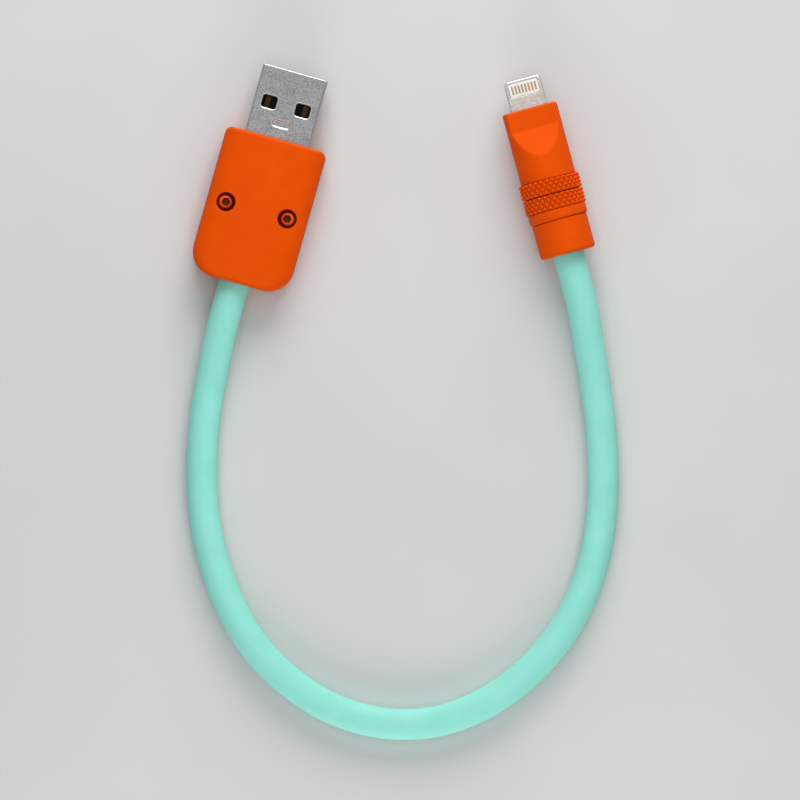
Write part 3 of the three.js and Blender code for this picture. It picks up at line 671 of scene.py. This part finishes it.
def outlet():
    """The hole that the cable comes out of, with the wider seat of the crimp ring."""
    narrow = [(OUTLET_RADIUS, -1), (OUTLET_RADIUS, REAR_WALL)]
    wide = [(CRIMP_SEAT_RADIUS, REAR_WALL), (CRIMP_SEAT_RADIUS, CAVITY[0] + 1)]
    return lathe("outlet", narrow + wide, 64, CABLE_OFFSET)


def shell_slot():
    play = 0.08
    flat = box_outline(SHELL_WIDTH + 2 * play, SHELL_HEIGHT + 2 * play, SHELL_CORNER + play)
    return along("slot", flat, CAVITY[1] - 1, HOUSING_LENGTH + 1)


def usb_housing():
    top = cut(housing_top_skin(), cavity(), outlet(), shell_slot())
    bottom = cut(housing_bottom_skin(), cavity(), outlet(), shell_slot())
    for x in (-SCREW_X, SCREW_X):
        sink = [(SHANK_RADIUS + 0.1, -1), (SHANK_RADIUS + 0.1, SINK_FLOOR), (SINK_RADIUS, SINK_FLOOR)]
        cut(top, post("sink", [*sink, (SINK_RADIUS, 6)], x, SCREW_Y, 64))
        radius, floor_height = INSERT_HOLE
        cut(bottom, post("insert_hole", [(radius, floor_height), (radius, 1)], x, SCREW_Y, 32))
    finished(softened(top, 0.1), USB_PLACE, orange, "housing_orange", "usb_housing_top")
    finished(softened(bottom, 0.1), USB_PLACE, orange, "housing_orange", "usb_housing_bottom")


def usb_screw(side, x):
    """A domed head with a six-sided socket, on a plain shank."""
    head = [(HEAD_RADIUS, HEAD_SEAT), (HEAD_RADIUS, HEAD_TOP - 0.5), (HEAD_RADIUS - 0.22, HEAD_TOP - 0.12)]
    head += [(HEAD_RADIUS - 0.55, HEAD_TOP), (0.05, HEAD_TOP)]
    profile = [(0.05, -2.6), (SHANK_RADIUS, -2.6), (SHANK_RADIUS, HEAD_SEAT), *head]
    screw = post("usb_screw_" + side, rounded(profile, 0.15), x, SCREW_Y, 64)
    floor = HEAD_TOP - SOCKET_DEPTH
    cut(screw, post("socket", [(SOCKET_RADIUS, floor), (SOCKET_RADIUS, HEAD_TOP + 1)], x, SCREW_Y, 6, 15))
    softened(screw, 0.05, 50)
    finished(screw, USB_PLACE, lacquer, "screw_orange", "usb_screw_" + side)


# ---------- USB connector ----------
def shell_section(inset):
    """The shell's section as (x, z), drawn in by that much."""
    radius = max(SHELL_CORNER - inset * 0.7, 0.2)
    return box_outline(SHELL_WIDTH - 2 * inset, SHELL_HEIGHT - 2 * inset, radius, steps=8)


def sloped_tool(size, x, y, profile):
    """A tool whose outline is drawn in by the first number of each profile point, at the second's height."""
    width, length, radius = size
    rings = []
    for inset, z in profile:
        flat = box_outline(width - 2 * inset, length - 2 * inset, radius - inset, x, y)
        rings.append([(px, py, z) for px, py in flat])
    return loft("tool", rings)


def usb_shell():
    """A folded sheet, open at both ends, with four latch windows and a pressed dimple."""
    outer_lip, inner_lip = 0.2, 0.08
    outer = arc(outer_lip, SHELL_MOUTH - outer_lip, outer_lip, 180, 90, 5)
    inner = arc(SHELL_SHEET - inner_lip, SHELL_MOUTH - inner_lip, inner_lip, 90, 0, 3)
    profile = [(0, SHELL_REAR), *outer, *inner, (SHELL_SHEET, SHELL_REAR)]
    rings = [[(x, y, z) for x, z in shell_section(inset)] for inset, y in profile]
    shell = loft("usb_shell", rings, looped=True)
    face = SHELL_HEIGHT / 2
    half = [(0, face - 0.14), (-0.16, face + 0.02), (-0.16, face + 1)]
    whole = [(inset, -z) for inset, z in reversed(half)] + half
    windows = [sloped_tool(WINDOW, x, WINDOW_Y, whole) for x in (-WINDOW_X, WINDOW_X)]
    pressed = [(0.12, face - DIMPLE_DEPTH), (0, face + 0.02), (0, face + 1)]
    dimple = sloped_tool(DIMPLE, 0, DIMPLE_Y, pressed)
    seam = upright("seam", box_outline(0.05, 20, 0.01, 0, SHELL_MOUTH - 9.9), -SHELL_HEIGHT, -2.15)
    cut(shell, *windows, dimple, seam)
    softened(shell, 0.1, 40)
    finished(shell, USB_PLACE, steel, "shell_steel", "usb_shell", edge_highlight_look=edge_highlight_steel)


# ---------- Phone plug ----------
def phone_skin_radius(angle, y):
    """How far the front body's skin is from its axis: round, with a flat and a ramp above and below."""
    edge = max(y - (PHONE_LENGTH - FRONT_EDGE), 0.0)
    drawn_in = FRONT_EDGE - math.sqrt(max(FRONT_EDGE**2 - edge**2, 0.0))
    rise = -soft_least(0.0, RAMP_SLOPE * (y - FLAT_START), 0.12)
    height = FLAT_HEIGHT + rise - drawn_in
    flat = height / max(abs(math.sin(angle)), 1e-3)
    return soft_least(PHONE_RADIUS - drawn_in, flat, 0.1)


def phone_front_body():
    steps = 240
    angles = [2 * math.pi * i / steps for i in range(steps)]
    rings = [[(SPIGOT_RADIUS * math.cos(a), y, SPIGOT_RADIUS * math.sin(a)) for a in angles]
             for y in (SPIGOT_START, SHOULDER)]
    places = [SHOULDER + 0.001, SHOULDER + 0.06]
    places += [17.3 + 0.12 * k for k in range(76)]
    places += [PHONE_LENGTH - FRONT_EDGE * math.cos(math.radians(7.5 * k)) for k in range(13)]
    for y in sorted(places):
        eased = 0.06 if y < SHOULDER + 0.03 else 0.0
        ring = []
        for a in angles:
            radius = phone_skin_radius(a, y) - eased
            ring.append((radius * math.cos(a), y, radius * math.sin(a)))
        rings.append(ring)
    body = loft("phone_front_body", rings)
    chamber = [(CHAMBER_RADIUS, SPIGOT_START - 1), (CHAMBER_RADIUS, CHAMBER_END)]
    slot = box_outline(2 * BLADE_HALF_WIDTH + 0.14, 2 * BLADE_HALF_THICKNESS + 0.14, 0.28)
    cut(body, lathe("chamber", chamber, 64), along("slot", slot, CHAMBER_END - 1, PHONE_LENGTH + 1))
    finished(body, PHONE_PLACE, orange, "housing_orange", "phone_front_body", crease=32)


def knurl_radius(turn, y):
    """Four rows of four-sided points near each end of the ring, and a plain groove between them."""
    length = 3 * KNURL_PITCH
    bands = [(RING[0] + KNURL_LIP, 1), (RING[1] - KNURL_LIP - length, 7)]
    for start, first_row in bands:
        inside = min(y - start, start + length - y) + KNURL_LIP
        if inside > 0:
            row = (y - start) / KNURL_PITCH + first_row
            column = turn * 2 * KNURL_COUNT
            p, q = (row + column) / 2, (row - column) / 2
            off_peak = max(abs(p - round(p)), abs(q - round(q)))
            height = min(1 - 2 * off_peak, 0.93) / 0.93
            point = KNURL_VALLEY + (KNURL_PEAK - KNURL_VALLEY) * height
            share = min(inside / KNURL_END, 1.0)
            return GROOVE_RADIUS + (point - GROOVE_RADIUS) * share
    return GROOVE_RADIUS


def phone_knurled_ring():
    steps = 2 * KNURL_COUNT * 8
    rows = 160
    rings = []
    for k in range(rows + 1):
        y = RING[0] + (RING[1] - RING[0]) * k / rows
        ring = []
        for i in range(steps):
            radius = knurl_radius(i / steps, y)
            angle = 2 * math.pi * i / steps
            ring.append((radius * math.cos(angle), y, radius * math.sin(angle)))
        rings.append(ring)
    for y in (RING[1], RING[0]):
        angles = [2 * math.pi * i / steps for i in range(steps)]
        rings.append([(RING_BORE * math.cos(a), y, RING_BORE * math.sin(a)) for a in angles])
    ring = loft("phone_knurled_ring", rings, looped=True)
    finished(ring, PHONE_PLACE, orange, "housing_orange", "phone_knurled_ring", crease=30)


def phone_collar():
    low, high = COLLAR
    rear, front = 0.45, 0.1
    rear_edge = arc(COLLAR_RADIUS - rear, low + rear, rear, -90, 0, 8)
    front_edge = arc(COLLAR_RADIUS - front, high - front, front, 0, 90, 4)
    profile = [(RING_BORE, low), *rear_edge, *front_edge, (RING_BORE, high)]
    collar = lathe("phone_collar", profile, 160, looped=True)
    finished(collar, PHONE_PLACE, orange, "housing_orange", "phone_collar")


def phone_rear_barrel():
    """A cap that the cable goes into, with rounded edges."""
    rear, front, wall = 0.6, 0.22, 1.6
    rear_edge = arc(PHONE_RADIUS - rear, rear, rear, -90, 0, 8)
    front_edge = arc(PHONE_RADIUS - front, BARREL_LENGTH - front, front, 0, 90, 8)
    inside = [(RING_BORE, BARREL_LENGTH), (RING_BORE, wall), (OUTLET_RADIUS, wall)]
    outlet_edge = [(OUTLET_RADIUS, 0.12), (OUTLET_RADIUS + 0.05, 0.04), (OUTLET_RADIUS + 0.12, 0)]
    profile = [*rear_edge, *front_edge, *inside, *outlet_edge]
    barrel = lathe("phone_rear_barrel", profile, 160, looped=True)
    finished(barrel, PHONE_PLACE, orange, "housing_orange", "phone_rear_barrel")


# ---------- Blade ----------
def slab(name, flat_at, bottom, top, edge, both=True):
    """A plate with rounded rims; flat_at gives its outline drawn in by some amount."""
    turns = [(edge * (1 - math.cos(math.radians(a))), edge * (1 - math.sin(math.radians(a))))
             for a in (0, 22.5, 45, 67.5, 90)]
    low = [(inset, bottom + drop) for inset, drop in turns[::-1]] if both else [(0, bottom)]
    high = [(inset, top - drop) for inset, drop in turns]
    return loft(name, [[(x, y, z) for x, y in flat_at(inset)] for inset, z in low + high])


def blade_frame():
    def flat(inset):
        return outline(
            BLADE_HALF_WIDTH - inset, BLADE_REAR, BLADE_END - inset, 0.25, BLADE_CORNER - inset, 12
        )

    thick = BLADE_HALF_THICKNESS
    blade = slab("phone_blade_frame", flat, -thick, thick, 0.22)
    port = upright("port", box_outline(*PORT, 0, PORT_Y, 8), -1, 1)
    slot = along("board_slot", box_outline(5.2, 0.8, 0.05), BLADE_REAR - 1, PORT_Y)
    cut(blade, port, slot)
    softened(blade, 0.07, 50, 3)
    finished(blade, PHONE_PLACE, nickel, "blade_steel", "phone_blade_frame", edge_highlight_look=edge_highlight_nickel)


def blade_face(side, sign):
    """The white insert and the eight contacts of one face."""
    top = BLADE_HALF_THICKNESS - 0.04
    width, length, radius = PORT

    def flat(inset):
        drawn = 0.04 + inset
        return box_outline(width - 2 * drawn, length - 2 * drawn, radius - drawn, 0, PORT_Y, 8)

    flip = Matrix.Rotation(math.pi, 4, "Y") if sign < 0 else Matrix.Identity(4)
    name = "phone_blade_insert_" + side
    insert = slab(name, flat, 0.35, top, 0.06, both=False)
    finished(insert, PHONE_PLACE @ flip, white, "insert_white", name)
    for i in range(8):
        x = (i - 3.5) * PAD_PITCH * sign

        def pad(inset):
            return box_outline(PAD[0] - 2 * inset, PAD[1] - 2 * inset, 0.1 - inset, x, PAD_Y, 4)

        name = "phone_contact_" + side + "_" + str(i + 1)
        contact = slab(name, pad, 0.33, BLADE_HALF_THICKNESS, 0.04, both=False)
        finished(contact, PHONE_PLACE @ flip, gold, "contact_gold", name)


# ---------- CAD pieces that keep their shape ----------
def dressed(name, look, edge=0.0):
    """A CAD piece with its new material and, if given, slightly rounded edges."""
    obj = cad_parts[name]
    for slot in obj.material_slots:
        slot.material = look
    if edge:
        joined = obj.modifiers.new("weld", "WELD")
        joined.merge_threshold = 1e-6
        softened(obj, edge * MM)


def inner_pieces():
    dressed("usb_contact_block", black, 0.05)
    # the USB contacts take the gold darkened as painted shade
    for i in range(4):
        dressed("usb_contact_" + str(i + 1), shaded_usb_gold, 0.03)
    for side in ("left", "right"):
        dressed("usb_screw_insert_" + side, brass, 0.05)
    dressed("usb_crimp_ring", crimp, 0.05)
    dressed("phone_crimp_ring", crimp, 0.05)
    dressed("phone_circuit_board", board, 0.03)
    dressed("phone_control_chip", chip, 0.05)
    dressed("phone_capacitor_1", ceramic, 0.04)
    dressed("phone_capacitor_2", ceramic, 0.04)
    dressed("cable_shield", braid)
    dressed("wire_power", wire_look("wire_red", (0.52, 0.015, 0.015)))
    dressed("wire_data_minus", wire_look("wire_white", (0.80, 0.80, 0.77)))
    dressed("wire_data_plus", wire_look("wire_green", (0.02, 0.25, 0.05)))
    dressed("wire_ground", wire_look("wire_black", (0.015, 0.015, 0.015)))


# ---------- Floor and lights ----------
def floor():
    made, tree, shader = blank("floor", Roughness=0.9)
    paper = tones(tree, noise(tree, 40.0), ((0.66, 0.66, 0.65), (0.69, 0.69, 0.68)))
    tree.links.new(paper, shader.inputs["Base Color"])
    mesh = bpy.data.meshes.new("floor")
    side = 4.0
    corners = [(-side, -side, 0), (side, -side, 0), (side, side, 0), (-side, side, 0)]
    mesh.from_pydata(corners, [], [(0, 1, 2, 3)])
    mesh.materials.append(made)
    obj = bpy.data.objects.new("floor", mesh)
    scene.collection.objects.link(obj)


def lamp(name, place, size, power, color=(1, 1, 1)):
    """A soft square lamp that faces the cable."""
    light = bpy.data.lights.new(name, "AREA")
    light.size = size
    light.energy = power
    light.color = color
    obj = bpy.data.objects.new(name, light)
    obj.location = place
    aim = Vector((0, -0.03, 0)) - Vector(place)
    obj.rotation_euler = aim.to_track_quat("-Z", "Y").to_euler()
    scene.collection.objects.link(obj)


def lighting():
    lamp("top", (0.0, -0.04, 1.35), 1.0, 4.5)
    lamp("key", (0.05, 0.42, 0.27), 0.4, 2.65)
    lamp("low", (0.0, -0.34, 0.1), 0.2, 0.5)
    world = bpy.data.worlds.new("studio")
    world.use_nodes = True
    world.node_tree.nodes["Background"].inputs["Color"].default_value = (0.9, 0.95, 1.0, 1)
    world.node_tree.nodes["Background"].inputs["Strength"].default_value = 0.22
    scene.world = world


camera()
cable(mint)
usb_housing()
usb_screw("left", -SCREW_X)
usb_screw("right", SCREW_X)
usb_shell()
phone_front_body()
phone_knurled_ring()
phone_collar()
phone_rear_barrel()
blade_frame()
blade_face("top", 1)
blade_face("bottom", -1)
inner_pieces()
floor()
lighting()
